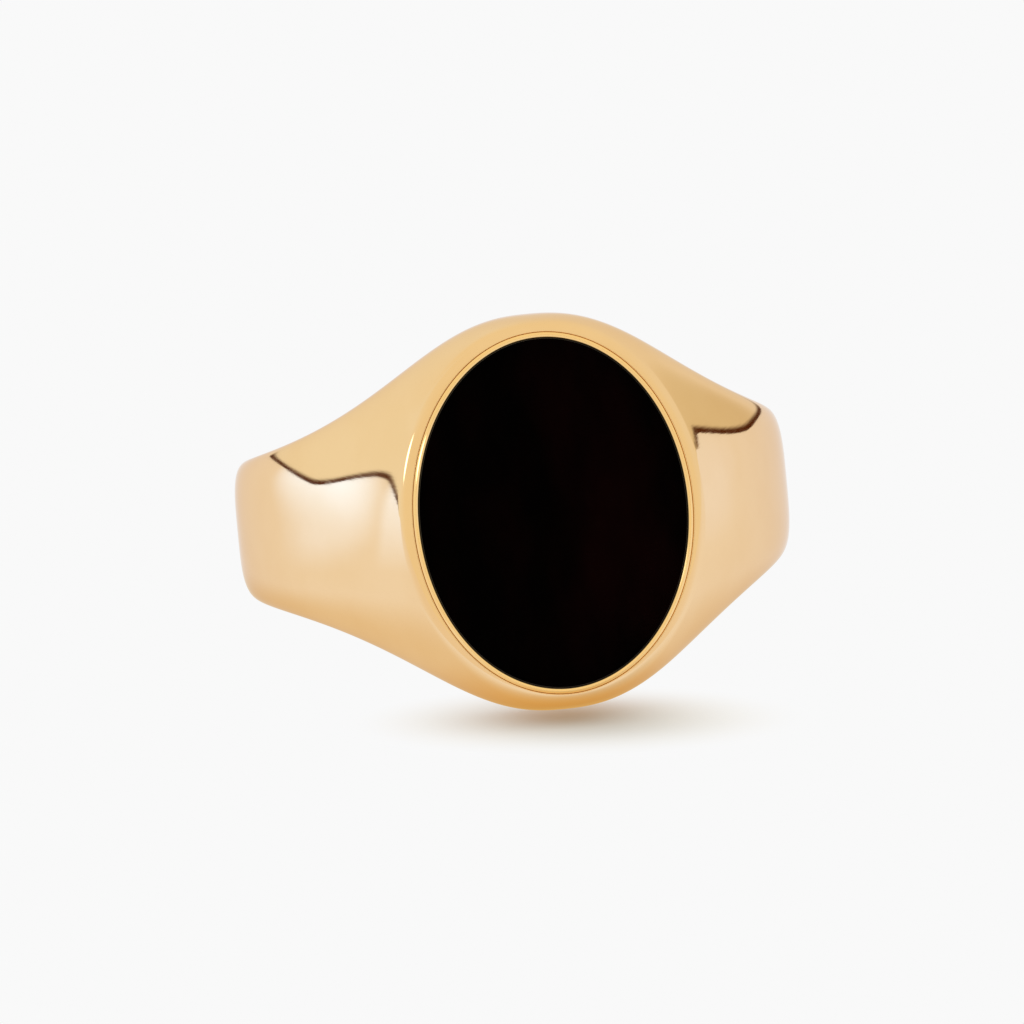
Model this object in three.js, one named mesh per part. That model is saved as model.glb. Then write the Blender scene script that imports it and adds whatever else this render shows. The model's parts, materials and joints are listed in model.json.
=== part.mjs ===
// A gold signet ring: a ring body with an oval head, a thin collar let into the head, and a flat onyx
// tablet that lies on a bed of cement and is held down by the collar's lip.
//
// Millimetres, +Z up. The ring stands as it does on a table: the lower edge of the head and the back of the
// shank touch the ground, so the head leans back. The head faces -Y, and X runs across the ring.
//
// The shapes are worked out in the ring's own frame, where the finger hole runs along Z and the face of the
// head is square to Y. There a place on the band's outside is an angle round the finger, 0 at the middle of
// the head, and a share of the way across the band, -1 at its lower edge and 1 at its upper edge.

import * as THREE from 'three';
import { mergeVertices } from 'three/addons/utils/BufferGeometryUtils.js';

// Finger hole and band
const FINGER_RADIUS = 9.1;
const HEAD_THICKNESS = 2.7;
const SIDE_THICKNESS = 1.54;
const BACK_THICKNESS = 1.5;
const BACK_HALF_WIDTH = 2.3;
const EDGE_THICKNESS = 0.5; // the upright edge between the finger hole and the foot of the dome
const EDGE_ROUND = 0.25; // where the edge meets the finger hole
const SIDE_DOME_POWER = 3.6; // superellipse power of the band's section; 2 is a plain ellipse

// Head and shoulders
const FACE_ROLL = 0.3; // half the width of the roll between the flat face and the shoulders
const HEAD_MARGIN = 0.39; // from the middle of that roll to the head's upper and lower edge
const TAPER_REACH = 1.6; // how far the head's width carries into the shoulders, in face half angles
const TAPER_START = 2.5; // higher holds the width longer before it falls
const TAPER_END = 1.14; // higher makes the shoulders run out sooner
const SHOULDER_START_PULL = 0.22; // handles of the shoulder's side profile, as shares of its length
const SHOULDER_END_PULL = 0.36;

// Stone, cement and collar
const STONE_HALF_LENGTH = 6.56;
const STONE_HALF_WIDTH = 5.07;
const STONE_THICKNESS = 1.5;
const STONE_TAPER = 0.12; // how much narrower the stone is at its back
const STONE_BEVEL = 0.06; // the slope that the collar's lip holds
const CEMENT_THICKNESS = 0.15;
const COLLAR_WALL = 0.13;
const COLLAR_LIP = 0.04; // how far the lip reaches over the stone's edge
const COLLAR_RISE = 0.07; // how far the lip stands above the face
const CLEARANCE = 0.02; // between any two pieces that touch

// Fineness of the mesh, in faces
const FACE_STEPS = 26; // across the head, along its upper or lower edge
const ROUND_STEPS = 46; // round the rest of the band
const ACROSS_STEPS = 16; // from one edge of the band to the other
const SPREAD_STEPS = 9; // from the pocket out to the edge of the head
const ROUND_CORNER_STEPS = 3;

// Sizes that follow from those
const FACE_HEIGHT = FINGER_RADIUS + HEAD_THICKNESS;
const DOME_FOOT = FINGER_RADIUS + EDGE_THICKNESS;
const COLLAR_OUT = CLEARANCE + COLLAR_WALL; // out from the stone's edge
const POCKET_OUT = COLLAR_OUT + CLEARANCE;
const POCKET_DEPTH = STONE_THICKNESS + CEMENT_THICKNESS + 2 * CLEARANCE;
const FACE_EDGE_LENGTH = STONE_HALF_LENGTH + POCKET_OUT + FACE_ROLL;
const FACE_EDGE_WIDTH = STONE_HALF_WIDTH + POCKET_OUT + FACE_ROLL;
const HEAD_HALF_LENGTH = FACE_EDGE_LENGTH + HEAD_MARGIN;
const FACE_ANGLE = Math.atan2(FACE_EDGE_WIDTH, FACE_HEIGHT);
const QUARTER_TURN = Math.PI / 2;
const HEAD_ANGLE = (FACE_ANGLE + QUARTER_TURN) / 2; // where the mesh of the head meets the mesh of the band

const smoothStep = (t) => THREE.MathUtils.smoothstep(t, 0, 1);
const lerp = THREE.MathUtils.lerp;

// ---- The band's outside ---------------------------------------------------------------------------------

// Half the width of the band at an angle.
function halfWidthAt(angle) {
  const reach = Math.abs(angle) / (TAPER_REACH * FACE_ANGLE);
  const share = Math.pow(1 + Math.pow(reach, TAPER_START), -TAPER_END);
  return lerp(BACK_HALF_WIDTH, HEAD_HALF_LENGTH, share);
}

// Half the length of the oval edge of the face, at an angle inside the face.
function faceEdgeAt(angle) {
  const across = (FACE_HEIGHT * Math.tan(Math.min(Math.abs(angle), FACE_ANGLE))) / FACE_EDGE_WIDTH;
  return FACE_EDGE_LENGTH * Math.sqrt(Math.max(0, 1 - across * across));
}

// Inside the face the dome is as tall as it must be to cross the face plane exactly on the oval edge.
function domeRiseInFace(angle) {
  const edgeShare = faceEdgeAt(angle) / halfWidthAt(angle);
  return (FACE_HEIGHT / Math.cos(angle) - DOME_FOOT) / Math.sqrt(1 - edgeShare * edgeShare);
}

// How steeply the dome leaves the face plane at the oval edge.
function edgeSlopeAt(angle) {
  const inFace = Math.min(Math.abs(angle), FACE_ANGLE);
  const across = FACE_HEIGHT * Math.tan(inFace);
  const along = faceEdgeAt(inFace);
  const halfWidth = halfWidthAt(inFace);
  const cut = 1 - Math.pow(along / halfWidth, 2);
  const normal = Math.hypot(across / FACE_EDGE_WIDTH ** 2, along / FACE_EDGE_LENGTH ** 2);
  return ((FACE_HEIGHT / Math.cos(inFace) - DOME_FOOT) / cut) * (FACE_EDGE_LENGTH / halfWidth) ** 2 * normal;
}

// The shoulder's side profile: it leaves the face's edge at the dome's slope, and ends upright at the side
// of the finger. Its x runs across the ring and its y towards the face.
function shoulderProfile() {
  const start = new THREE.Vector2(FACE_EDGE_WIDTH, FACE_HEIGHT);
  const end = new THREE.Vector2(FINGER_RADIUS + SIDE_THICKNESS, 0);
  const reach = start.distanceTo(end);
  const slope = edgeSlopeAt(FACE_ANGLE);
  const leave = new THREE.Vector2(1 - slope * Math.sin(FACE_ANGLE), -slope * Math.cos(FACE_ANGLE));
  const startHandle = start.clone().addScaledVector(leave.normalize(), SHOULDER_START_PULL * reach);
  const endHandle = end.clone().add(new THREE.Vector2(0, SHOULDER_END_PULL * reach));
  return new THREE.CubicBezierCurve(start, startHandle, endHandle, end);
}
const SHOULDER = shoulderProfile();

// Radius of the shoulder's profile at an angle, found by halving.
function shoulderRadiusAt(angle) {
  let low = 0;
  let high = 1;
  for (let i = 0; i < 30; i += 1) {
    const middle = (low + high) / 2;
    const point = SHOULDER.getPoint(middle);
    if (Math.atan2(point.x, point.y) < angle) low = middle;
    else high = middle;
  }
  return SHOULDER.getPoint(low).length();
}

// Height of the dome above its foot, on the middle line of the band.
function domeRiseAt(angle) {
  const round = Math.abs(angle);
  if (round < FACE_ANGLE) return domeRiseInFace(round);
  if (round < QUARTER_TURN) return shoulderRadiusAt(round) - DOME_FOOT;
  const toBack = smoothStep((round - QUARTER_TURN) / QUARTER_TURN);
  return FINGER_RADIUS + lerp(SIDE_THICKNESS, BACK_THICKNESS, toBack) - DOME_FOOT;
}

function domePowerAt(angle) {
  return lerp(2, SIDE_DOME_POWER, smoothStep((Math.abs(angle) - FACE_ANGLE) / (QUARTER_TURN - FACE_ANGLE)));
}

// The lower of the face plane and the dome, rolled into each other near the face's edge.
function rolledRadius(angle, dome) {
  if (Math.abs(angle) > HEAD_ANGLE) return dome;
  const plane = FACE_HEIGHT / Math.cos(angle);
  const roll = FACE_ROLL * edgeSlopeAt(angle);
  const near = Math.max(0, 1 - Math.abs(dome - plane) / roll);
  return Math.min(plane, dome) - (roll * near * near) / 4;
}

function bandPoint(radius, angle, z) {
  return new THREE.Vector3(radius * Math.sin(angle), -radius * Math.cos(angle), z);
}

function outsidePoint(angle, share) {
  const power = 2 / domePowerAt(angle);
  const turn = Math.abs(share) * QUARTER_TURN;
  const z = halfWidthAt(angle) * Math.sign(share) * Math.pow(Math.sin(turn), power);
  const dome = DOME_FOOT + domeRiseAt(angle) * Math.pow(Math.max(0, Math.cos(turn)), power);
  return bandPoint(rolledRadius(angle, dome), angle, z);
}

// ---- Meshes ---------------------------------------------------------------------------------------------

// A row is a list of points. Neighbouring rows are joined by faces that look along (step) x (next row).
function joinRows(corners, rows) {
  for (let i = 0; i + 1 < rows.length; i += 1) {
    for (let j = 0; j + 1 < rows[i].length; j += 1) {
      const [a, b, c, d] = [rows[i][j], rows[i][j + 1], rows[i + 1][j + 1], rows[i + 1][j]];
      corners.push(a, b, c, a, c, d);
    }
  }
}

// Doubled points are merged, and the faces that they leave without area are dropped.
function closedGeometry(corners) {
  const loose = new THREE.BufferGeometry().setFromPoints(corners);
  const merged = mergeVertices(loose, 1e-4);
  const kept = [];
  for (let i = 0; i < merged.index.count; i += 3) {
    const [a, b, c] = [0, 1, 2].map((k) => merged.index.getX(i + k));
    if (a !== b && b !== c && c !== a) kept.push(a, b, c);
  }
  merged.setIndex(kept);
  merged.computeVertexNormals();
  return merged;
}

// The oval's turns run clockwise as seen from the front, from the top. Four runs of turns face the four
// sides of the head's mesh: its upper edge, its right side, its lower edge and its left side.
const CORNER_TURN = Math.atan2(FACE_EDGE_WIDTH + FACE_EDGE_LENGTH, 2 * FACE_EDGE_LENGTH);

function headRim() {
  const lowerTurn = Math.PI - CORNER_TURN;
  const turns = [-CORNER_TURN, CORNER_TURN, lowerTurn, 2 * Math.PI - lowerTurn, 2 * Math.PI - CORNER_TURN];
  const sides = [
    [-1, 1, 1, 1],
    [1, 1, 1, -1],
    [1, -1, -1, -1],
    [-1, -1, -1, 1],
  ];
  const rim = [];
  sides.forEach(([angle0, share0, angle1, share1], side) => {
    const steps = side % 2 ? ACROSS_STEPS : FACE_STEPS;
    for (let i = 0; i < steps; i += 1) {
      const t = i / steps;
      rim.push({
        turn: lerp(turns[side], turns[side + 1], t),
        angle: HEAD_ANGLE * lerp(angle0, angle1, t),
        share: lerp(share0, share1, t),
      });
    }
  });
  rim.push({ ...rim[0], turn: rim[0].turn + 2 * Math.PI });
  return rim;
}
const RIM = headRim();

// A point of the oval that lies a way out from the stone's edge, at a height above the finger hole's axis.
function ovalPoint(turn, out, height) {
  const x = (STONE_HALF_WIDTH + out) * Math.sin(turn);
  const z = (STONE_HALF_LENGTH + out) * Math.cos(turn);
  return new THREE.Vector3(x, -height, z);
}
const ovalRow = (out, height) => RIM.map(({ turn }) => ovalPoint(turn, out, height));
const centreRow = (height) => RIM.map(() => new THREE.Vector3(0, -height, 0));

// The same oval as places on the band, so that the head's faces can spread out from it.
function pocketEdge() {
  return RIM.map(({ turn }) => {
    const point = ovalPoint(turn, POCKET_OUT, FACE_HEIGHT);
    const angle = Math.atan2(point.x, FACE_HEIGHT);
    const sine = Math.pow(Math.abs(point.z) / halfWidthAt(angle), domePowerAt(angle) / 2);
    return { angle, share: (Math.sign(point.z) * Math.asin(sine)) / QUARTER_TURN };
  });
}

function ringBody() {
  const corners = [];

  const edge = pocketEdge();
  const spread = [];
  for (let i = 0; i <= SPREAD_STEPS; i += 1) {
    const t = Math.pow(i / SPREAD_STEPS, 1.4);
    spread.push(
      edge.map((from, j) => {
        const to = RIM[j];
        return outsidePoint(lerp(from.angle, to.angle, t), lerp(from.share, to.share, t));
      }),
    );
  }
  joinRows(corners, spread);

  const floor = FACE_HEIGHT - POCKET_DEPTH;
  joinRows(corners, [ovalRow(POCKET_OUT, floor), spread[0]]);
  joinRows(corners, [centreRow(floor), ovalRow(POCKET_OUT, floor)]);

  const roundAngles = [];
  for (let i = 0; i <= ROUND_STEPS; i += 1) {
    const angle = lerp(HEAD_ANGLE, 2 * Math.PI - HEAD_ANGLE, i / ROUND_STEPS);
    roundAngles.push(angle > Math.PI ? angle - 2 * Math.PI : angle);
  }
  const band = [];
  for (let i = 0; i <= ACROSS_STEPS; i += 1) {
    const share = lerp(-1, 1, i / ACROSS_STEPS);
    band.push(roundAngles.map((angle) => outsidePoint(angle, share)));
  }
  joinRows(corners, band);

  const headAngles = RIM.slice(0, FACE_STEPS + 1).map(({ angle }) => angle);
  joinRows(corners, insideRows([...headAngles, ...roundAngles.slice(1)]));
  return closedGeometry(corners);
}

// From the foot of the dome on the upper edge, down through the finger hole, to the foot on the lower edge.
function insideRows(angles) {
  const section = [{ radius: DOME_FOOT, in: 0 }];
  for (let i = 0; i <= ROUND_CORNER_STEPS; i += 1) {
    const turn = (QUARTER_TURN * i) / ROUND_CORNER_STEPS;
    section.push({
      radius: FINGER_RADIUS + EDGE_ROUND * (1 - Math.sin(turn)),
      in: EDGE_ROUND * (1 - Math.cos(turn)),
    });
  }
  const row = (side, place) =>
    angles.map((angle) => bandPoint(place.radius, angle, side * (halfWidthAt(angle) - place.in)));
  return [...section.map((place) => row(1, place)), ...section.reverse().map((place) => row(-1, place))];
}

// A closed piece whose sections are all ovals round the stone. Its outline starts at the front and goes
// outwards, back and inwards.
function ovalSolid(rows) {
  const corners = [];
  joinRows(corners, rows);
  return closedGeometry(corners);
}

const STONE_FRONT = FACE_HEIGHT;
const STONE_BACK = STONE_FRONT - STONE_THICKNESS;
const COLLAR_BACK = FACE_HEIGHT - POCKET_DEPTH + CLEARANCE;

function onyxStone() {
  return ovalSolid([
    centreRow(STONE_FRONT),
    ovalRow(-STONE_BEVEL, STONE_FRONT),
    ovalRow(0, STONE_FRONT - STONE_BEVEL),
    ovalRow(-STONE_TAPER, STONE_BACK),
    centreRow(STONE_BACK),
  ]);
}

function settingCement() {
  const front = STONE_BACK - CLEARANCE;
  const back = front - CEMENT_THICKNESS + CLEARANCE;
  return ovalSolid([
    centreRow(front),
    ovalRow(-STONE_TAPER, front),
    ovalRow(-STONE_TAPER, back),
    centreRow(back),
  ]);
}

// The collar's wall stands in the pocket round the stone, and its lip leans over the stone's bevel.
function bezelCollar() {
  const top = FACE_HEIGHT + COLLAR_RISE;
  const bead = (COLLAR_OUT + COLLAR_LIP) / 2;
  const outline = [
    ovalRow(COLLAR_OUT - bead, top),
    ovalRow(COLLAR_OUT - bead / 3, top - bead / 5),
    ovalRow(COLLAR_OUT, FACE_HEIGHT - bead / 3),
    ovalRow(COLLAR_OUT, COLLAR_BACK),
    ovalRow(CLEARANCE, COLLAR_BACK),
    ovalRow(CLEARANCE, FACE_HEIGHT - STONE_BEVEL + CLEARANCE / 2),
    ovalRow(-COLLAR_LIP, FACE_HEIGHT - STONE_BEVEL + COLLAR_LIP + 2 * CLEARANCE),
    ovalRow(-COLLAR_LIP, top - bead / 2),
  ];
  return ovalSolid([...outline, outline[0]]);
}

// ---- Assembly -------------------------------------------------------------------------------------------

function piece(name, geometry, color, roughness, metalness) {
  const mesh = new THREE.Mesh(geometry, new THREE.MeshStandardMaterial({ color, roughness, metalness }));
  mesh.name = name;
  return mesh;
}

// The lowest point of the front or the back half, when the ring leans back by a tilt.
function lowestPoint(geometry, side, tilt) {
  const points = geometry.getAttribute('position');
  let lowest = Infinity;
  for (let i = 0; i < points.count; i += 1) {
    if (Math.sign(points.getY(i)) !== side) continue;
    lowest = Math.min(lowest, points.getZ(i) * Math.cos(tilt) - points.getY(i) * Math.sin(tilt));
  }
  return lowest;
}

// The tilt at which the head and the back of the shank touch the ground together.
function restingTilt(geometry) {
  let low = 0;
  let high = QUARTER_TURN / 2;
  for (let i = 0; i < 30; i += 1) {
    const middle = (low + high) / 2;
    if (lowestPoint(geometry, -1, middle) < lowestPoint(geometry, 1, middle)) low = middle;
    else high = middle;
  }
  return low;
}

const body = piece('ring_body', ringBody(), 0xe3ae62, 0.12, 1);
const ring = new THREE.Group();
ring.add(body);
ring.add(piece('bezel_collar', bezelCollar(), 0xe9b45f, 0.1, 1));
ring.add(piece('onyx_stone', onyxStone(), 0x060304, 0.06, 0));
ring.add(piece('setting_cement', settingCement(), 0xcfc8b8, 0.8, 0));
ring.rotation.x = -restingTilt(body.geometry);

// The origin is under the middle of the ring's box, on the ground.
const signetRing = new THREE.Group();
signetRing.add(ring);
const box = new THREE.Box3().setFromObject(signetRing, true);
ring.position.set(-(box.min.x + box.max.x) / 2, -(box.min.y + box.max.y) / 2, -box.min.z);

export default signetRing;
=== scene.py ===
"""A polished gold signet ring with a flat onyx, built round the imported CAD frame.

The shapes are worked out in millimetres in the ring's own frame, as the CAD part does: the finger hole runs
along Z, the face of the head is square to Y and looks along -Y, and a place on the band's outside is an angle
round the finger and a share of the way across the band. Each mesh is then leant back and moved into the row
frame, in metres.
"""

import json
import math

import bmesh
import bpy
import numpy as np
from mathutils import Matrix, Vector


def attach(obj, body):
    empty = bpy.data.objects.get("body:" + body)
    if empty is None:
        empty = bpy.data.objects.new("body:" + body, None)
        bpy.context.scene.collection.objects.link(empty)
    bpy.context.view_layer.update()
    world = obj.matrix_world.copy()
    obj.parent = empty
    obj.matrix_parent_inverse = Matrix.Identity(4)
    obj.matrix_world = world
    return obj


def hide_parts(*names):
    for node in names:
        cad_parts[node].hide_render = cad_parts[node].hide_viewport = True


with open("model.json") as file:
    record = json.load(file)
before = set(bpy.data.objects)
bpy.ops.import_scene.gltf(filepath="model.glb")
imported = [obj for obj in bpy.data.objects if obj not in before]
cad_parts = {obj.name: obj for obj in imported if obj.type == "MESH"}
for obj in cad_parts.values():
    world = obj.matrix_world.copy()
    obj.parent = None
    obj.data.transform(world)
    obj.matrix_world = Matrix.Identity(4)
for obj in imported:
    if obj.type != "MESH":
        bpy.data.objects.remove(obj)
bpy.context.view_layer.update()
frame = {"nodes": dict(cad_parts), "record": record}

# ---- Sizes in millimetres, the same as the CAD part's -----------------------------------------------------

FINGER_RADIUS = 9.1
HEAD_THICKNESS = 2.7
SIDE_THICKNESS = 1.54
BACK_THICKNESS = 1.5
BACK_HALF_WIDTH = 2.3
EDGE_THICKNESS = 0.5
EDGE_ROUND = 0.25
SIDE_DOME_POWER = 3.6

FACE_ROLL = 0.3
HEAD_MARGIN = 0.39
TAPER_REACH = 1.6
TAPER_START = 2.5
TAPER_END = 1.14
SHOULDER_START_PULL = 0.22
SHOULDER_END_PULL = 0.36

STONE_HALF_LENGTH = 6.56
STONE_HALF_WIDTH = 5.07
STONE_THICKNESS = 1.5
STONE_TAPER = 0.12
STONE_BEVEL = 0.06
CEMENT_THICKNESS = 0.15
COLLAR_WALL = 0.13
COLLAR_LIP = 0.04
COLLAR_RISE = 0.07
CLEARANCE = 0.02

# Sizes of the fine finish, which the CAD part leaves out
POCKET_ROUND = 0.05  # the broken edge of the pocket, which makes the groove round the collar
STONE_EDGE_ROUND = 0.015
STONE_BACK_ROUND = 0.05
RIDGE_ROUND = 0.02
COLLAR_FIT = 0.005  # between the collar and the pocket, closed up by burnishing

# Fineness of the meshes, in faces
FACE_STEPS = 180
ROUND_STEPS = 360
ACROSS_STEPS = 120
SPREAD_STEPS = 72
SPREAD_POWER = 1.4  # makes those steps finer near the pocket
CORNER_STEPS = 6

# Sizes that follow from those
FACE_HEIGHT = FINGER_RADIUS + HEAD_THICKNESS
DOME_FOOT = FINGER_RADIUS + EDGE_THICKNESS
COLLAR_OUT = CLEARANCE + COLLAR_WALL
POCKET_OUT = COLLAR_OUT + CLEARANCE
POCKET_DEPTH = STONE_THICKNESS + CEMENT_THICKNESS + 2 * CLEARANCE
FACE_EDGE_LENGTH = STONE_HALF_LENGTH + POCKET_OUT + FACE_ROLL
FACE_EDGE_WIDTH = STONE_HALF_WIDTH + POCKET_OUT + FACE_ROLL
HEAD_HALF_LENGTH = FACE_EDGE_LENGTH + HEAD_MARGIN
FACE_ANGLE = math.atan2(FACE_EDGE_WIDTH, FACE_HEIGHT)
QUARTER_TURN = math.pi / 2
HEAD_ANGLE = (FACE_ANGLE + QUARTER_TURN) / 2

# ---- The ring's own frame, from the record's mount on the stone's face ------------------------------------

MM = 0.001
face_mount = next(m for m in frame["record"]["mounts"] if m["name"] == "stone_face")
face_normal = Vector(face_mount["axis"]).normalized()
hole_centre = Vector(face_mount["pos_m"]) - face_normal * FACE_HEIGHT * MM
across = Vector((1, 0, 0))
along_finger = across.cross(-face_normal)
RING = Matrix((across, -face_normal, along_finger)).transposed()


def to_row_frame(points):
    """Points in millimetres in the ring's own frame, as metres in the row frame."""
    return points @ np.array(RING.transposed()) * MM + np.array(hole_centre)


# ---- The band's outside -----------------------------------------------------------------------------------


def blend(start, end, share):
    return start + (end - start) * share


def smooth_step(t):
    t = np.clip(t, 0, 1)
    return t * t * (3 - 2 * t)


def half_width_at(angle):
    """Half the width of the band at an angle."""
    reach = np.abs(angle) / (TAPER_REACH * FACE_ANGLE)
    return blend(BACK_HALF_WIDTH, HEAD_HALF_LENGTH, (1 + reach**TAPER_START) ** -TAPER_END)


def face_edge_at(angle):
    """Half the length of the oval edge of the face, at an angle inside the face."""
    out = FACE_HEIGHT * np.tan(np.minimum(np.abs(angle), FACE_ANGLE)) / FACE_EDGE_WIDTH
    return FACE_EDGE_LENGTH * np.sqrt(np.maximum(0, 1 - out**2))


def edge_slope_at(angle):
    """How steeply the dome leaves the face plane at the oval edge."""
    in_face = np.minimum(np.abs(angle), FACE_ANGLE)
    out = FACE_HEIGHT * np.tan(in_face)
    along = face_edge_at(in_face)
    half_width = half_width_at(in_face)
    normal = np.hypot(out / FACE_EDGE_WIDTH**2, along / FACE_EDGE_LENGTH**2)
    rise = (FACE_HEIGHT / np.cos(in_face) - DOME_FOOT) / (1 - (along / half_width) ** 2)
    return rise * (FACE_EDGE_LENGTH / half_width) ** 2 * normal


def shoulder_table():
    """Angle and radius along the shoulder's side profile, a cubic curve from the face's edge to the side."""
    start = np.array([FACE_EDGE_WIDTH, FACE_HEIGHT])
    end = np.array([FINGER_RADIUS + SIDE_THICKNESS, 0.0])
    reach = np.hypot(*(end - start))
    slope = float(edge_slope_at(FACE_ANGLE))
    leave = np.array([1 - slope * math.sin(FACE_ANGLE), -slope * math.cos(FACE_ANGLE)])
    start_handle = start + leave / np.hypot(*leave) * SHOULDER_START_PULL * reach
    end_handle = end + np.array([0, SHOULDER_END_PULL * reach])
    t = np.linspace(0, 1, 4000)[:, None]
    left = 1 - t
    handles = 3 * left**2 * t * start_handle + 3 * left * t**2 * end_handle
    curve = left**3 * start + handles + t**3 * end
    return np.arctan2(curve[:, 0], curve[:, 1]), np.hypot(curve[:, 0], curve[:, 1])


SHOULDER_ANGLES, SHOULDER_RADII = shoulder_table()


def dome_rise_at(angle):
    """Height of the dome above its foot, on the middle line of the band."""
    turn = np.abs(angle)
    in_face = np.minimum(turn, FACE_ANGLE)
    cut = np.sqrt(1 - (face_edge_at(in_face) / half_width_at(in_face)) ** 2)
    face = (FACE_HEIGHT / np.cos(in_face) - DOME_FOOT) / cut
    shoulder = np.interp(turn, SHOULDER_ANGLES, SHOULDER_RADII) - DOME_FOOT
    to_back = smooth_step((turn - QUARTER_TURN) / QUARTER_TURN)
    back = FINGER_RADIUS + blend(SIDE_THICKNESS, BACK_THICKNESS, to_back) - DOME_FOOT
    return np.where(turn < FACE_ANGLE, face, np.where(turn < QUARTER_TURN, shoulder, back))


def dome_power_at(angle):
    """The dome's section is an ellipse at the face, and squarer towards the side and the back."""
    to_side = (np.abs(angle) - FACE_ANGLE) / (QUARTER_TURN - FACE_ANGLE)
    return blend(2, SIDE_DOME_POWER, smooth_step(to_side))


def rolled_radius(angle, dome):
    """The lower of the face plane and the dome, rolled into each other near the face's edge."""
    plane = FACE_HEIGHT / np.cos(np.minimum(np.abs(angle), HEAD_ANGLE))
    roll = FACE_ROLL * edge_slope_at(angle)
    near = np.maximum(0, 1 - np.abs(dome - plane) / roll)
    rolled = np.minimum(plane, dome) - roll * near**2 / 4
    return np.where(np.abs(angle) > HEAD_ANGLE, dome, rolled)


def band_points(radius, angle, z):
    return np.stack(np.broadcast_arrays(radius * np.sin(angle), -radius * np.cos(angle), z), axis=-1)


def outside_points(angle, share):
    power = 2 / dome_power_at(angle)
    turn = np.abs(share) * QUARTER_TURN
    z = half_width_at(angle) * np.sign(share) * np.sin(turn) ** power
    dome = DOME_FOOT + dome_rise_at(angle) * np.maximum(0, np.cos(turn)) ** power
    return band_points(rolled_radius(angle, dome), angle, z)


# ---- Meshes -----------------------------------------------------------------------------------------------


def mesh_from_rows(name, patches):
    """A closed mesh from patches. Each patch is a grid of points, rows by steps, that faces look out of."""
    points, faces, start = [], [], 0
    for grid in patches:
        rows, steps = grid.shape[:2]
        index = np.arange(rows * steps).reshape(rows, steps) + start
        corners = (index[:-1, :-1], index[:-1, 1:], index[1:, 1:], index[1:, :-1])
        faces.append(np.stack(corners, axis=-1).reshape(-1, 4))
        points.append(grid.reshape(-1, 3))
        start += rows * steps
    mesh = bpy.data.meshes.new(name)
    mesh.from_pydata(to_row_frame(np.concatenate(points)), [], np.concatenate(faces).tolist())
    shape = bmesh.new()
    shape.from_mesh(mesh)
    bmesh.ops.remove_doubles(shape, verts=shape.verts, dist=0.0005 * MM)
    bmesh.ops.dissolve_degenerate(shape, edges=shape.edges, dist=0.0001 * MM)
    shape.to_mesh(mesh)
    shape.free()
    mesh.shade_smooth()
    piece = bpy.data.objects.new(name, mesh)
    bpy.context.scene.collection.objects.link(piece)
    return piece


def head_rim():
    """Turns round the oval, with the angle and the share of the head's rim that each one faces."""
    corner = math.atan2(FACE_EDGE_WIDTH + FACE_EDGE_LENGTH, 2 * FACE_EDGE_LENGTH)
    turns = (-corner, corner, math.pi - corner, math.pi + corner, 2 * math.pi - corner)
    sides = ((-1, 1, 1, 1), (1, 1, 1, -1), (1, -1, -1, -1), (-1, -1, -1, 1))
    rows = []
    for side, (angle0, share0, angle1, share1) in enumerate(sides):
        steps = ACROSS_STEPS if side % 2 else FACE_STEPS
        t = np.arange(steps) / steps
        angle = HEAD_ANGLE * blend(angle0, angle1, t)
        rows.append(np.stack([blend(turns[side], turns[side + 1], t), angle, blend(share0, share1, t)]))
    rim = np.concatenate(rows, axis=1)
    last = rim[:, :1] + np.array([[2 * math.pi], [0], [0]])
    return np.concatenate([rim, last], axis=1)


RIM_TURN, RIM_ANGLE, RIM_SHARE = head_rim()


def oval_row(out, height):
    """A row round the stone, a way out from its edge, at a height above the finger hole's axis."""
    x = (STONE_HALF_WIDTH + out) * np.sin(RIM_TURN)
    z = (STONE_HALF_LENGTH + out) * np.cos(RIM_TURN)
    return np.stack([x, np.full_like(x, -height), z], axis=-1)


def centre_row(height):
    return np.stack([0 * RIM_TURN, 0 * RIM_TURN - height, 0 * RIM_TURN], axis=-1)


def oval_outline(places):
    """Rows for a list of (out, height)."""
    return np.stack([oval_row(out, height) for out, height in places])


def arc(out, height, radius, start, end):
    """(out, height) places along an arc round a centre, from one turn in degrees to another."""
    turns = np.radians(np.linspace(start, end, CORNER_STEPS + 1))
    return [(out + radius * math.cos(turn), height + radius * math.sin(turn)) for turn in turns]


def spread_rows():
    """The head's outside, from the pocket's broken edge out to the rim of the head."""
    edge = oval_row(POCKET_OUT + POCKET_ROUND, FACE_HEIGHT)
    edge_angle = np.arctan2(edge[:, 0], FACE_HEIGHT)
    sine = (np.abs(edge[:, 2]) / half_width_at(edge_angle)) ** (dome_power_at(edge_angle) / 2)
    edge_share = np.sign(edge[:, 2]) * np.arcsin(sine) / QUARTER_TURN
    t = (np.arange(SPREAD_STEPS + 1) / SPREAD_STEPS)[:, None] ** SPREAD_POWER
    return outside_points(blend(edge_angle, RIM_ANGLE, t), blend(edge_share, RIM_SHARE, t))


def inside_rows(angles):
    """From the dome's foot on the upper edge, through the finger hole, to the foot on the lower edge."""
    turns = np.linspace(0, QUARTER_TURN, CORNER_STEPS + 1)
    flat = np.linspace(DOME_FOOT, FINGER_RADIUS + EDGE_ROUND, 4)[:-1]
    radius = np.concatenate([flat, FINGER_RADIUS + EDGE_ROUND * (1 - np.sin(turns))])
    inset = np.concatenate([0 * flat, EDGE_ROUND * (1 - np.cos(turns))])
    half_width = half_width_at(angles)
    upper = [band_points(r, angles, half_width - i) for r, i in zip(radius, inset)]
    middle = [
        band_points(FINGER_RADIUS, angles, (half_width - EDGE_ROUND) * share)
        for share in np.linspace(0.97, -0.97, 15)
    ]
    lower = [band_points(r, angles, i - half_width) for r, i in zip(radius[::-1], inset[::-1])]
    return np.stack(upper + middle + lower)


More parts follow.
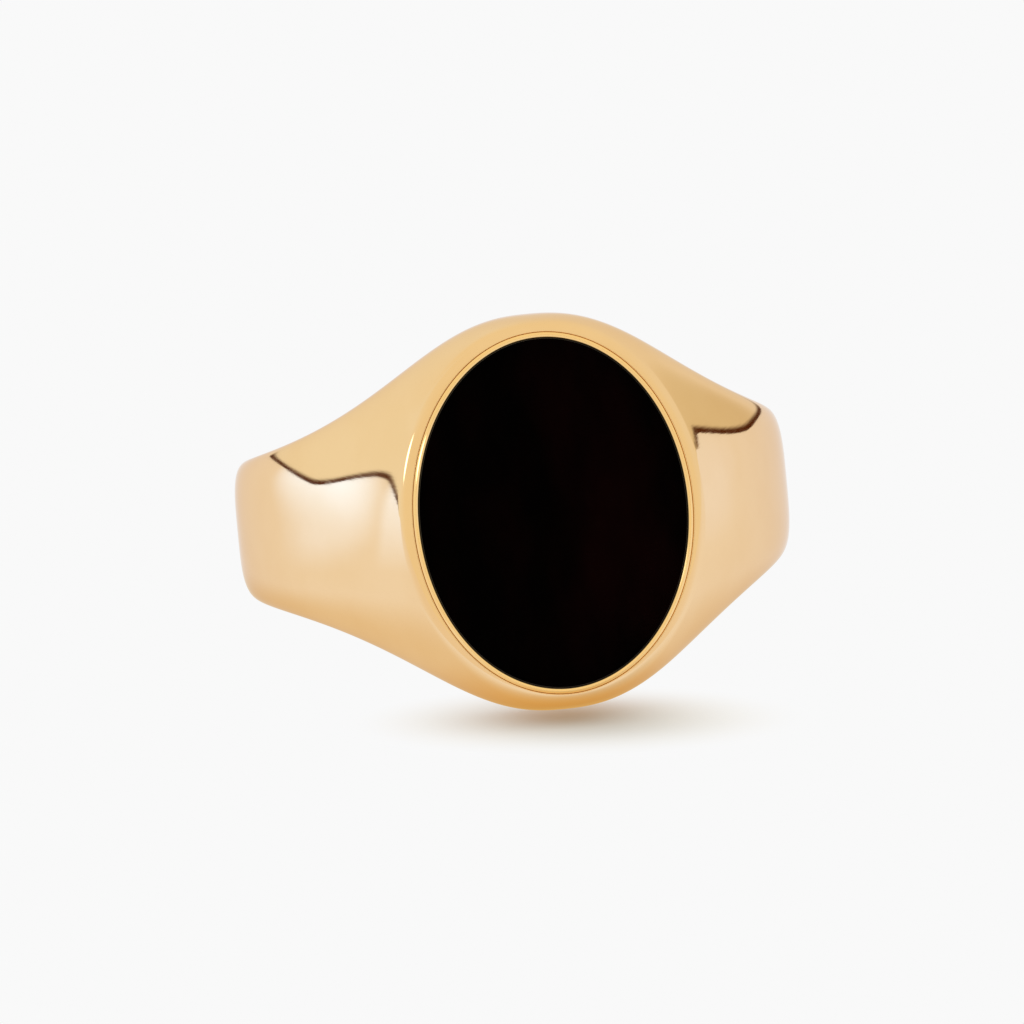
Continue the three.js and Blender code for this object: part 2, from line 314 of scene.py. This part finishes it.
def ring_body():
    spread = spread_rows()
    floor = FACE_HEIGHT - POCKET_DEPTH
    pocket = [(POCKET_OUT, floor), (POCKET_OUT, FACE_HEIGHT - 3 * POCKET_ROUND)]
    pocket += arc(POCKET_OUT + POCKET_ROUND, FACE_HEIGHT - POCKET_ROUND, POCKET_ROUND, 180, 90)[:-1]
    wall = np.concatenate([oval_outline(pocket), spread[:1]])
    seat = np.stack([centre_row(floor), oval_row(POCKET_OUT, floor)])
    round_angles = np.linspace(HEAD_ANGLE, 2 * math.pi - HEAD_ANGLE, ROUND_STEPS + 1)
    round_angles = np.where(round_angles > math.pi, round_angles - 2 * math.pi, round_angles)
    shares = np.linspace(-1, 1, ACROSS_STEPS + 1)
    band = outside_points(round_angles[None, :], shares[:, None])
    inside = inside_rows(np.concatenate([RIM_ANGLE[: FACE_STEPS + 1], round_angles[1:]]))
    return mesh_from_rows("ring_body_surface", [spread, wall, seat, band, inside])


def bezel_collar():
    """A thin wall round the stone. Its top is a ridge, sloping down to the face and over the stone's edge."""
    back = FACE_HEIGHT - POCKET_DEPTH + CLEARANCE
    bevel_foot = FACE_HEIGHT - STONE_BEVEL + CLEARANCE / 2
    outer = POCKET_OUT - COLLAR_FIT
    ridge = (outer - COLLAR_LIP) / 2
    top = FACE_HEIGHT + COLLAR_RISE
    places = [(CLEARANCE, back), (CLEARANCE, bevel_foot), (-COLLAR_LIP, FACE_HEIGHT + CLEARANCE / 2)]
    places += [(blend(-COLLAR_LIP, ridge, 0.5), blend(FACE_HEIGHT, top, 0.6))]
    places += arc(ridge, top - RIDGE_ROUND, RIDGE_ROUND, 135, 45)
    places += [(blend(outer, ridge, 0.5), blend(FACE_HEIGHT, top, 0.6))]
    places += arc(outer - RIDGE_ROUND, FACE_HEIGHT - RIDGE_ROUND, RIDGE_ROUND, 45, 0)
    places += [(outer, FACE_HEIGHT - 0.1), (outer, back)]
    return mesh_from_rows("bezel_collar_surface", [oval_outline([*places, places[0]])])


def onyx_stone():
    """A flat tablet: polished top, small bevel, and sides that narrow a little towards the back."""
    back = FACE_HEIGHT - STONE_THICKNESS
    edge = FACE_HEIGHT - STONE_BEVEL
    top_out = -STONE_BEVEL - STONE_EDGE_ROUND
    places = [(-4.0, FACE_HEIGHT), (-2.0, FACE_HEIGHT), (top_out - STONE_EDGE_ROUND, FACE_HEIGHT)]
    places += arc(top_out, FACE_HEIGHT - STONE_EDGE_ROUND, STONE_EDGE_ROUND, 90, 45)
    places += arc(-STONE_EDGE_ROUND, edge - STONE_EDGE_ROUND, STONE_EDGE_ROUND, 45, 0)
    places += [(-0.9 * STONE_TAPER, back + 0.1)]
    places += arc(-STONE_TAPER - STONE_BACK_ROUND, back + STONE_BACK_ROUND, STONE_BACK_ROUND, 0, -90)
    outline = oval_outline(places)
    rows = np.concatenate([centre_row(FACE_HEIGHT)[None], outline, centre_row(back)[None]])
    return mesh_from_rows("onyx_stone_surface", [rows])


# ---- Materials --------------------------------------------------------------------------------------------


class Nodes:
    """A short way to make and link shader nodes."""

    def __init__(self, tree):
        self.tree = tree
        tree.nodes.clear()

    def add(self, kind, inputs=None, **settings):
        node = self.tree.nodes.new(kind)
        for name, value in settings.items():
            setattr(node, name, value)
        for name, value in (inputs or {}).items():
            if isinstance(value, bpy.types.NodeSocket):
                self.tree.links.new(value, node.inputs[name])
            else:
                node.inputs[name].default_value = value
        return node

    def math(self, operation, a, b):
        return self.add("ShaderNodeMath", {0: a, 1: b}, operation=operation).outputs[0]

    def ramp(self, value, low, high, to_low=0.0, to_high=1.0, smooth=True):
        """value from low..high turned into to_low..to_high, and held outside it."""
        kind = "SMOOTHSTEP" if smooth else "LINEAR"
        inputs = {"Value": value, "From Min": low, "From Max": high, "To Min": to_low, "To Max": to_high}
        return self.add("ShaderNodeMapRange", inputs, interpolation_type=kind).outputs[0]

    def noise(self, vector, scale, detail, roughness=0.5, stretch=(1, 1, 1)):
        scaled = self.add("ShaderNodeMapping", {"Vector": vector, "Scale": stretch}).outputs[0]
        inputs = {"Vector": scaled, "Scale": scale, "Detail": detail, "Roughness": roughness}
        return self.add("ShaderNodeTexNoise", inputs).outputs[0]

    def distance(self, centre, reach=(1, 1, 1), turn=0):
        """How far a place on the object is from a centre, in reaches along axes turned about Z."""
        place = self.add("ShaderNodeTexCoord").outputs["Object"]
        inputs = {"Vector": place, "Location": centre, "Rotation": (0, 0, math.radians(turn)), "Scale": reach}
        near = self.add("ShaderNodeMapping", inputs, vector_type="TEXTURE").outputs[0]
        return self.add("ShaderNodeVectorMath", {0: near}, operation="LENGTH").outputs["Value"]

    def finish(self, kind, shader):
        """Links a shader to an output of this kind."""
        output = self.add(kind)
        self.tree.links.new(shader.outputs[0], output.inputs[0])

    def mix_shaders(self, share, a, b):
        return self.add("ShaderNodeMixShader", {0: share, 1: a.outputs[0], 2: b.outputs[0]})

    def mix(self, share, a, b):
        """Colour a where share is 0, and colour b where it is 1."""
        node = self.add("ShaderNodeMix", data_type="RGBA")
        for socket, value in ((node.inputs[0], share), (node.inputs[6], a), (node.inputs[7], b)):
            if isinstance(value, bpy.types.NodeSocket):
                self.tree.links.new(value, socket)
            else:
                socket.default_value = value
        return node.outputs[2]


def new_material(name):
    material = bpy.data.materials.new(name)
    material.use_nodes = True
    return material, Nodes(material.node_tree)


def finish_material(nodes, inputs, height, depth):
    """A Principled shader with these inputs, and a bump as deep as depth, in metres."""
    shader = nodes.add("ShaderNodeBsdfPrincipled", inputs)
    bump = nodes.add("ShaderNodeBump", {"Strength": 1.0, "Distance": depth, "Height": height})
    nodes.tree.links.new(bump.outputs[0], shader.inputs["Normal"])
    nodes.finish("ShaderNodeOutputMaterial", shader)


GOLD = (0.913, 0.654, 0.377)
FINE_GOLD = (0.98, 0.68, 0.32)  # collars are made of a softer, yellower gold
GRAZING_TINT = (0.88, 0.8, 0.74, 1)  # keeps the gold's edges from going white


def gold_material(name, color, roughness):
    """Polished gold: a very slight unevenness in colour and gloss, and the finest buffing lines."""
    material, nodes = new_material(name)
    place = nodes.add("ShaderNodeTexCoord").outputs["Object"]
    cloud = nodes.noise(place, 350, 3)
    deep = (color[0] * 0.985, color[1] * 0.97, color[2] * 0.94, 1)
    tone = nodes.mix(nodes.ramp(cloud, 0.35, 0.65), deep, (*color, 1))
    smudge = nodes.noise(place, 900, 4, 0.6)
    lines = nodes.noise(place, 9000, 2, 0.6, stretch=(0.08, 0.08, 1))
    smudged = nodes.ramp(smudge, 0.3, 0.7, roughness * 0.8, roughness * 1.3)
    gloss = nodes.math("ADD", smudged, nodes.ramp(lines, 0.5, 0.8, 0.0, 0.02))
    inputs = {"Base Color": tone, "Metallic": 1.0, "Roughness": gloss, "Specular Tint": GRAZING_TINT}
    finish_material(nodes, inputs, height=lines, depth=0.0000004)
    return material


def onyx_material():
    """Black onyx: almost no colour, faint brown-red bands deep in it, and a glassy polish."""
    material, nodes = new_material("polished_onyx")
    place = nodes.add("ShaderNodeTexCoord").outputs["Object"]
    bands = nodes.noise(place, 260, 4, 0.55, stretch=(1, 1, 0.35))
    tone = nodes.mix(nodes.ramp(bands, 0.45, 0.75), (0.0006, 0.0004, 0.0004, 1), (0.0035, 0.0008, 0.0009, 1))
    polish = nodes.noise(place, 1400, 3)
    gloss = nodes.ramp(polish, 0.3, 0.7, 0.025, 0.045)
    inputs = {"Base Color": tone, "Metallic": 0.0, "Roughness": gloss, "IOR": 1.54}
    finish_material(nodes, inputs, height=polish, depth=0.0000002)
    return material


def cement_material():
    """Setting cement: pale, matt and grainy."""
    material, nodes = new_material("setting_cement_matt")
    place = nodes.add("ShaderNodeTexCoord").outputs["Object"]
    grain = nodes.noise(place, 6000, 5, 0.6)
    tone = nodes.mix(nodes.ramp(grain, 0.35, 0.7), (0.46, 0.41, 0.33, 1), (0.66, 0.61, 0.52, 1))
    inputs = {"Base Color": tone, "Roughness": nodes.ramp(grain, 0.2, 0.8, 0.7, 0.95)}
    finish_material(nodes, inputs, height=grain, depth=0.00001)
    return material


def table_material():
    """A pale table top that glows evenly of itself. Close to where the head rests it glows less, so it takes
    real shade there, and its colour is darkened there in a painted shadow.
    """
    material, nodes = new_material("pale_table")
    distance = nodes.distance(SHADOW_CENTRE, SHADOW_REACH, SHADOW_TURN)
    glow = nodes.ramp(distance, 0.0, 1.0, TABLE_GLOW, 1.0)
    # painted shadow: the matt colour goes from the shadow colour in the patch's middle to the table's own
    # colour at its rim
    tone = nodes.mix(nodes.ramp(distance, 0.0, 1.0), SHADOW_COLOR, TABLE_COLOR)
    lit = nodes.add("ShaderNodeEmission", {"Color": BACKDROP, "Strength": 1.0})
    matt = nodes.add("ShaderNodeBsdfDiffuse", {"Color": tone})
    nodes.finish("ShaderNodeOutputMaterial", nodes.mix_shaders(glow, matt, lit))
    return material


def painted_reflection_material():
    """A painted reflection: deep amber painted shade where the head rests, paler further off, and fading out
    at the rim.
    """
    material, nodes = new_material("painted_reflection_card")
    from_head = nodes.distance(HEAD_REST)
    # painted shade: the card's glow is deep amber near the head and paler further off
    tone = nodes.mix(nodes.ramp(from_head, 0.001, 0.007), CARD_PAINTED_SHADE_DEEP, CARD_PAINTED_SHADE_PALE)
    lit = nodes.add("ShaderNodeEmission", {"Color": tone, "Strength": 1.0})
    clear = nodes.add("ShaderNodeBsdfTransparent")
    fade = nodes.ramp(nodes.distance(CARD_CENTRE), CARD_REACH * 0.6, CARD_REACH)
    nodes.finish("ShaderNodeOutputMaterial", nodes.mix_shaders(fade, lit, clear))
    return material


# ---- Studio -----------------------------------------------------------------------------------------------

CAMERA_DISTANCE = 0.300
CAMERA_SIDE = 7.34  # degrees round the ring from straight in front of its face
CAMERA_RISE = 2.25  # degrees above the plane of the ring
CAMERA_ROLL = 5.39
CAMERA_LENS = 273.3  # millimetres, on a 36 mm sensor
AIM_BELOW_HOLE = 0.00028  # the picture's middle, below the centre of the finger hole

# The table top. In an oval patch it glows less and takes real shade, and its colour is darkened towards the
# patch's middle: a painted shadow
BACKDROP = (0.947, 0.947, 0.947, 1)
TABLE_COLOR = (0.93, 0.93, 0.93, 1)
TABLE_RADIUS = 0.0195
TABLE_GLOW = 0.05  # share of the table's brightness that is its own, in the middle of the patch
SHADOW_CENTRE = (0.0003, -0.0112, 0)  # just in front of where the head rests on the table
SHADOW_REACH = (0.0088, 0.0042, 1)  # half the patch's size, along and across it
SHADOW_TURN = -18  # degrees that the patch is turned, seen from above
# the painted shadow's colour, in the middle of the patch
SHADOW_COLOR = (0.64, 0.66, 0.74, 1)

# A glowing card on the table: a painted reflection of the table's shade round the ring, warmed by light off
# the gold
HEAD_REST = (0, -0.0095, 0)  # where the head rests
CARD_CENTRE = (-0.002, 0, 0)
CARD_REACH = 0.017
CARD_HEIGHT = 0.00002
# colours of the painted reflection of the table's shade, near the head and further off
CARD_PAINTED_SHADE_DEEP = (0.78, 0.52, 0.18, 1)
CARD_PAINTED_SHADE_PALE = (0.87, 0.78, 0.62, 1)

# The room as the gold sees it. Turns are degrees to the right of the camera, and rises are degrees up.
# A patch is its turn, its rise, and the angles from its middle where it starts to fade and has faded out
ROOM_LEAN = 3.45  # degrees to one side

# The height of the table's far edge is a sum of bends. Each bend is two places on the way round, from 1
# behind the ring through 0 beside it to -1 at the camera, and the degrees that it adds at either place
EDGE_LEFT = ((0.09, 0.36, 5.1, -3.3), (0.34, 0.86, 0.0, 7.1), (-0.1, 0.08, -8.0, 0.0))
EDGE_RIGHT = ((0.49, 0.785, 8.2, -1.6), (0.7, 1.0, 0.0, -2.4), (0.5, 0.55, -3.0, 0.0))
EDGE_BLUR = 0.15
LINE_RISE = (0.9, 2.5)  # degrees above the edge where the dark line starts to fade and has faded out
LINE_START = (-0.1, 0.45)  # the line's near end on the way round, on the left and on the right
LINE_END = (0.84, 0.92)  # and its far end
LINE_COLOR = (0.09, 0.025, 0.006, 1)
FLAG = (4, 6)  # a black patch, with its middle where the stone's face mirrors the room to the camera
WALL_LEFT = (0.95, 0.95, 0.86, 1)
WALL_RIGHT = (0.93, 0.89, 0.76, 1)
WALL_FRONT = (0.94, 0.86, 0.64, 1)
WALL_TOP = (0.95, 0.88, 0.68, 1)
TABLE_FRONT = (0.92, 0.85, 0.72, 1)
SHADE = (132, 0, 8, 21)  # a darker part of the right wall
SHADE_COLOR = (0.79, 0.71, 0.51, 1)
HOT = (-109, -1, 0, 19)  # the bright end of the table
HOT_REACH = -19  # degrees below level where it has faded out
HOT_COLOR = (1.21, 1.66, 2.7, 1)
COOL = (118, -4, 3, 14)  # a fainter, cooler patch at the other end
COOL_COLOR = (0.97, 1.01, 1.12, 1)
WINDOW = (-62, 22, 3, 8)  # a small bright window, which makes the streak beside the stone
WINDOW_COLOR = (3.5, 3.5, 3.5, 1)


def turn_about(axis, degrees):
    return Matrix.Rotation(math.radians(degrees), 3, axis)


def camera():
    """The camera is placed from the ring: round it, above its plane, and rolled."""
    turned = turn_about("Z", -CAMERA_SIDE) @ turn_about("X", -CAMERA_RISE)
    right = RING @ turned @ Vector((1, 0, 0))
    ahead = RING @ turned @ Vector((0, 1, 0))
    up = right.cross(ahead)
    roll = math.radians(CAMERA_ROLL)
    picture_right = right * math.cos(roll) - up * math.sin(roll)
    picture_up = right * math.sin(roll) + up * math.cos(roll)
    data = bpy.data.cameras.new("camera")
    data.sensor_width = 36
    data.lens = CAMERA_LENS
    data.clip_start = 0.01
    data.clip_end = 20
    item = bpy.data.objects.new("camera", data)
    pose = Matrix((picture_right, picture_up, -ahead)).transposed().to_4x4()
    pose.translation = hole_centre - picture_up * AIM_BELOW_HOLE - ahead * CAMERA_DISTANCE
    item.matrix_world = pose
    bpy.context.scene.collection.objects.link(item)
    bpy.context.scene.camera = item
    return item


def flat_disc(name, radius, height, material):
    turns = np.linspace(0, 2 * math.pi, 128, endpoint=False)
    rim = [(radius * math.cos(turn), radius * math.sin(turn), height) for turn in turns]
    mesh = bpy.data.meshes.new(name)
    mesh.from_pydata(rim, [], [tuple(range(len(rim)))])
    mesh.materials.append(material)
    disc = bpy.data.objects.new(name, mesh)
    bpy.context.scene.collection.objects.link(disc)
    return disc


def table_top():
    """A pale round table top under the ring. The room behind it has the same tone."""
    flat_disc("table_top", TABLE_RADIUS, 0.0, table_material())


def painted_reflection_card():
    """A painted reflection of the warm tone that the table has in the ring's own shade, lit by the gold. The
    card glows, and only the gold's reflections show it.
    """
    card = flat_disc("painted_reflection_card", TABLE_RADIUS, CARD_HEIGHT, painted_reflection_material())
    card.visible_camera = False
    card.visible_diffuse = False
    card.visible_shadow = False


def studio_world(view):
    """A pale room with a wide table in it, and a thin dark line where the table meets the wall.

    Only the reflections see it. The camera sees one even tone. The room leans a little to one side.
    """
    world = bpy.data.worlds.new("studio")
    world.use_nodes = True
    bpy.context.scene.world = world
    nodes = Nodes(world.node_tree)
    ahead = view.matrix_world.to_3x3() @ Vector((0, 0, -1))
    behind = Vector((ahead.x, ahead.y, 0)).normalized()
    right = behind.cross(Vector((0, 0, 1)))
    lean = math.radians(ROOM_LEAN)
    table_up = Vector((0, 0, 1)) * math.cos(lean) + right * math.sin(lean)
    direction = nodes.add("ShaderNodeTexCoord").outputs["Generated"]

    def facing(vector):
        inputs = {0: direction, 1: vector}
        return nodes.add("ShaderNodeVectorMath", inputs, operation="DOT_PRODUCT").outputs["Value"]

    def towards(side_turn, rise):
        """A direction: degrees to the right of the camera as the ring sees it, and degrees up."""
        turn, up = math.radians(side_turn), math.radians(rise)
        level = right * math.sin(turn) - behind * math.cos(turn)
        return level * math.cos(up) + Vector((0, 0, 1)) * math.sin(up)

    def cone(vector, inner, outer):
        """1 within the inner angle of a direction, and 0 beyond the outer angle."""
        cosines = (math.cos(math.radians(outer)), math.cos(math.radians(inner)))
        return nodes.ramp(facing(vector), *cosines)

    def spot(side_turn, rise, inner, outer):
        return cone(towards(side_turn, rise), inner, outer)

    # back is 1 behind the ring and -1 at the camera, and side is 0 on the left and 1 on the right
    back = facing(behind)
    side = nodes.ramp(facing(right), -0.3, 0.3)
    front = nodes.ramp(back, -0.9, 0.0, 1.0, 0.0)

    def curve(bends):
        total = 0.0
        for bend in bends:
            total = nodes.math("ADD", total, nodes.ramp(back, *bend))
        return total

    left_rise = curve(EDGE_LEFT)
    step = nodes.math("MULTIPLY", nodes.math("SUBTRACT", curve(EDGE_RIGHT), left_rise), side)
    edge = nodes.math("ADD", left_rise, step)
    height = nodes.math("MULTIPLY", facing(table_up), 180 / math.pi)
    over = nodes.math("SUBTRACT", height, edge)
    above_edge = nodes.ramp(over, -EDGE_BLUR, EDGE_BLUR)

    wall = nodes.mix(side, WALL_LEFT, WALL_RIGHT)
    wall = nodes.mix(spot(*SHADE), wall, SHADE_COLOR)
    wall = nodes.mix(front, wall, WALL_FRONT)
    wall = nodes.mix(nodes.ramp(over, 20, 50), wall, WALL_TOP)
    wall = nodes.mix(spot(*WINDOW), wall, WINDOW_COLOR)

    # The table has a bright end and, beside the ring, a bright strip, both fading out below level
    table = nodes.mix(front, BACKDROP, TABLE_FRONT)
    strip = nodes.math("MULTIPLY", nodes.ramp(back, 0.06, 0.0), nodes.ramp(back, -0.25, -0.1))
    strip = nodes.math("MULTIPLY", strip, nodes.ramp(side, 0.0, 1.0, 0.6, 0.0))
    hot = nodes.math("ADD", spot(*HOT), strip)
    hot = nodes.math("MULTIPLY", hot, nodes.ramp(height, HOT_REACH, 4, smooth=False))
    table = nodes.mix(hot, table, HOT_COLOR)
    table = nodes.mix(spot(*COOL), table, COOL_COLOR)
    tone = nodes.mix(above_edge, table, wall)

    line = nodes.math("MULTIPLY", above_edge, nodes.ramp(over, *LINE_RISE, 1.0, 0.0))
    past_start = nodes.math("SUBTRACT", back, nodes.ramp(side, 0.0, 1.0, *LINE_START))
    past_end = nodes.math("SUBTRACT", back, nodes.ramp(side, 0.0, 1.0, *LINE_END))
    line = nodes.math("MULTIPLY", line, nodes.ramp(past_start, 0.0, 0.08))
    line = nodes.math("MULTIPLY", line, nodes.ramp(past_end, 0.0, 0.07, 1.0, 0.0))
    tone = nodes.mix(line, tone, LINE_COLOR)

    mirrored = ahead - 2 * ahead.dot(face_normal) * face_normal
    tone = nodes.mix(cone(mirrored, *FLAG), tone, (0, 0, 0, 1))
    reflected = nodes.add("ShaderNodeBackground", {"Color": tone, "Strength": 1.0})
    plain = nodes.add("ShaderNodeBackground", {"Color": BACKDROP, "Strength": 1.0})
    seen = nodes.add("ShaderNodeLightPath").outputs["Is Camera Ray"]
    nodes.finish("ShaderNodeOutputWorld", nodes.mix_shaders(seen, reflected, plain))


# ---- Assembly ---------------------------------------------------------------------------------------------

BODY = "root"


def dress(piece, node, material):
    piece.data.materials.clear()
    piece.data.materials.append(material)
    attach(piece, BODY)
    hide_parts(node)


view = camera()
table_top()
painted_reflection_card()
studio_world(view)

polished_gold = gold_material("polished_gold", GOLD, roughness=0.05)
burnished_gold = gold_material("burnished_gold", FINE_GOLD, roughness=0.06)
dress(ring_body(), "ring_body", polished_gold)
dress(bezel_collar(), "bezel_collar", burnished_gold)
dress(onyx_stone(), "onyx_stone", onyx_material())
cement = frame["nodes"]["setting_cement"]
cement.data.materials.clear()
cement.data.materials.append(cement_material())

scene = bpy.context.scene
scene.view_settings.view_transform = "Standard"
scene.view_settings.look = "None"
